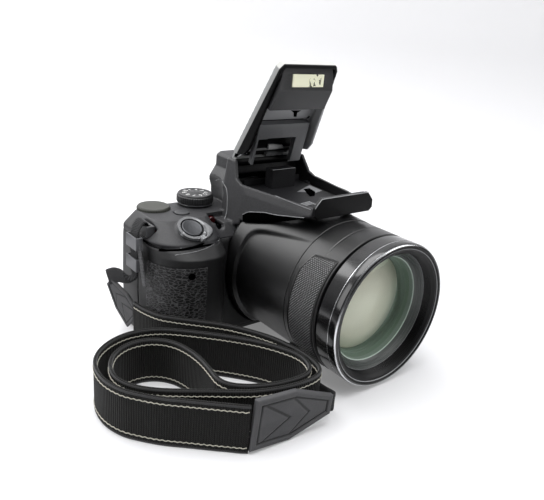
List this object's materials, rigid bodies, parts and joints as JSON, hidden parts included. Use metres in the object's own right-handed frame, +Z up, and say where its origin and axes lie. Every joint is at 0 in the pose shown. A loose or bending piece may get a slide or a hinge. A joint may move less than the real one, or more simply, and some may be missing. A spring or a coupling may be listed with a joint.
{
  "type": "bridge camera",
  "caption": "Bridge camera with a deep grip, a long two-stage zoom barrel, a raised pop-up flash, swing-out monitor and a coiled neck strap.",
  "frame": {"origin": "on the resting face of the base, straight under the lens axis", "axes": "+Z up, +X to the right as seen from the front, the lens looks along -Y"},
  "size_m": [0.1971, 0.147, 0.1577],
  "materials": {
    "black_cover": "fine-grained moulded, matte black",
    "hump_cover": "fine-grained moulded, matte black",
    "grip_skin": "leather-grained, matte black",
    "frame_metal": "die-cast, bare",
    "bush_steel": "turned",
    "barrel_satin": "satin black",
    "pad_rubber": "cross-hatched, matte black",
    "optic_glass": "coated, polished",
    "sensor": "filtered, polished",
    "board": "lacquered circuit board",
    "cell_case": "moulded, matte",
    "card": "moulded, matte",
    "well_plastic": "moulded, satin grey",
    "gloss_black": "polished black",
    "eye_rubber": "soft, matte black",
    "lamp_red": "dark red, polished",
    "screw_steel": "blackened steel",
    "pin_steel": "ground",
    "lid_plastic": "moulded, satin dark grey",
    "window_plastic": "ribbed diffuser, cream",
    "button_grey": "spun, satin grey",
    "button_black": "moulded, satin black",
    "button_red": "moulded, satin dark red",
    "screen": "polished black",
    "webbing": "ribbed woven, black with pale stitching",
    "tab_leather": "embossed, dark grey",
    "slider_plastic": "moulded, satin grey"
  },
  "bodies": {
    "camera_body": {"base_plate": "black_cover", "front_cover": "black_cover", "rear_cover": "black_cover", "top_cover": "hump_cover", "grip_rubber": "grip_skin", "chassis": "frame_metal", "tripod_bush": "bush_steel", "lens_shroud": "barrel_satin", "barrel_ring": "barrel_satin", "barrel_pads": "pad_rubber", "rear_lens_group": "frame_metal", "image_sensor": "sensor", "main_board": "board", "battery": "cell_case", "memory_card": "card", "flash_well": "well_plastic", "brow_plate": "gloss_black", "eyecup": "eye_rubber", "eyepiece_lens": "optic_glass", "strap_eyelets": "screw_steel", "focus_lamp": "lamp_red", "base_screws": "screw_steel", "flash_pin": "pin_steel", "strap_webbing": "webbing", "strap_tabs": "tab_leather", "grip_lead": "webbing", "far_lead": "webbing", "strap_sliders": "slider_plastic"},
    "zoom_tube": {"zoom_barrel": "barrel_satin"},
    "lens_unit": {"front_barrel": "barrel_satin", "front_ring": "gloss_black", "front_lens": "optic_glass", "lens_cell": "barrel_satin"},
    "flash": {"flash_lid": "lid_plastic", "flash_head": "button_black", "flash_window": "window_plastic", "flash_bracket": "button_black"},
    "mode": {"mode_dial": "button_black"},
    "command": {"command_dial": "button_black"},
    "shutter": {"shutter_button": "button_grey"},
    "lever": {"zoom_lever": "button_grey"},
    "power": {"power_button": "button_black"},
    "movie": {"movie_button": "button_red"},
    "display": {"display_button": "button_black"},
    "playback": {"playback_button": "button_black"},
    "menu": {"menu_button": "button_black"},
    "delete": {"delete_button": "button_black"},
    "selector": {"selector_dial": "button_black"},
    "ok": {"ok_button": "button_black"},
    "diopter": {"diopter_knob": "button_black"},
    "monitor": {"monitor_arm": "black_cover", "monitor_panel": "black_cover", "monitor_glass": "screen"},
    "door": {"battery_door": "black_cover"},
    "latch": {"door_latch": "button_black"},
    "port": {"port_cover": "black_cover"},
    "side_lever": {"side_zoom_lever": "button_black"},
    "snap": {"snap_back_button": "button_black"},
    "flash_release": {"flash_button": "button_black"}
  },
  "joints": [
    {"name": "zoom_extend", "type": "slide", "parent": "camera_body", "child": "zoom_tube", "axis": [0, -1, 0], "range_m": [0, 0.038]},
    {"name": "zoom_second_stage", "type": "slide", "parent": "zoom_tube", "child": "lens_unit", "axis": [0, -1, 0], "range_m": [0, 0.038]},
    {"name": "flash_fold", "type": "hinge", "parent": "camera_body", "child": "flash", "pos_m": [0, 0.0125, 0.0975], "axis": [1, 0, 0], "range_deg": [0, 67.6], "stiffness_Nm_per_rad": 0.03, "springref_deg": -22.92},
    {"name": "mode_turn", "type": "hinge", "parent": "camera_body", "child": "mode", "pos_m": [-0.0416, 0.0252, 0.074], "axis": [0, 0, 1], "continuous": true},
    {"name": "command_turn", "type": "hinge", "parent": "camera_body", "child": "command", "pos_m": [-0.0678, 0.0275, 0.07], "axis": [0, 0, 1], "continuous": true},
    {"name": "shutter_press", "type": "slide", "parent": "camera_body", "child": "shutter", "axis": [0, 0.4802, -0.8771], "range_m": [0, 0.0008], "stiffness_N_per_m": 400},
    {"name": "zoom_lever_turn", "type": "hinge", "parent": "camera_body", "child": "lever", "pos_m": [-0.0624, -0.0057, 0.06628], "axis": [0, -0.4802, 0.8771], "range_deg": [-20, 20], "stiffness_Nm_per_rad": 0.02},
    {"name": "power_press", "type": "slide", "parent": "camera_body", "child": "power", "axis": [0, 0, -1], "range_m": [0, 0.0005], "stiffness_N_per_m": 400},
    {"name": "movie_press", "type": "slide", "parent": "camera_body", "child": "movie", "axis": [0, -1, 0], "range_m": [0, 0.0006], "stiffness_N_per_m": 400},
    {"name": "display_press", "type": "slide", "parent": "camera_body", "child": "display", "axis": [0, -1, 0], "range_m": [0, 0.0006], "stiffness_N_per_m": 400},
    {"name": "playback_press", "type": "slide", "parent": "camera_body", "child": "playback", "axis": [0, -1, 0], "range_m": [0, 0.0006], "stiffness_N_per_m": 400},
    {"name": "menu_press", "type": "slide", "parent": "camera_body", "child": "menu", "axis": [0, -1, 0], "range_m": [0, 0.0006], "stiffness_N_per_m": 400},
    {"name": "delete_press", "type": "slide", "parent": "camera_body", "child": "delete", "axis": [0, -1, 0], "range_m": [0, 0.0006], "stiffness_N_per_m": 400},
    {"name": "ok_press", "type": "slide", "parent": "camera_body", "child": "ok", "axis": [0, -1, 0], "range_m": [0, 0.0006], "stiffness_N_per_m": 400},
    {"name": "selector_turn", "type": "hinge", "parent": "camera_body", "child": "selector", "pos_m": [-0.06, 0.0335, 0.027], "axis": [0, 1, 0], "continuous": true},
    {"name": "diopter_turn", "type": "hinge", "parent": "camera_body", "child": "diopter", "pos_m": [0.025, 0.024, 0.095], "axis": [1, 0, 0], "range_deg": [-60, 60]},
    {"name": "monitor_swing", "type": "hinge", "parent": "camera_body", "child": "monitor", "pos_m": [0.05, 0.0305, 0.0316], "axis": [0, 0, -1], "range_deg": [0, 170]},
    {"name": "battery_door_open", "type": "hinge", "parent": "camera_body", "child": "door", "pos_m": [-0.078, 0.007, 0.00125], "axis": [0, 1, 0], "range_deg": [0, 100]},
    {"name": "door_latch_slide", "type": "slide", "parent": "door", "child": "latch", "axis": [-1, 0, 0], "range_m": [0, 0.0025]},
    {"name": "port_cover_open", "type": "hinge", "parent": "camera_body", "child": "port", "pos_m": [0.0524, 0.023, 0.026], "axis": [0, 0, 1], "range_deg": [0, 110]},
    {"name": "side_zoom_slide", "type": "slide", "parent": "camera_body", "child": "side_lever", "axis": [0, 0, 1], "range_m": [-0.0025, 0.0025], "stiffness_N_per_m": 400},
    {"name": "snap_back_press", "type": "slide", "parent": "camera_body", "child": "snap", "axis": [-1, 0, 0], "range_m": [0, 0.0006], "stiffness_N_per_m": 400},
    {"name": "flash_release_press", "type": "slide", "parent": "camera_body", "child": "flash_release", "axis": [-1, 0, 0], "range_m": [0, 0.0006], "stiffness_N_per_m": 400}
  ],
  "couplings": [
    {"joint": "zoom_second_stage", "follows": "zoom_extend", "ratio": 1}
  ]
}
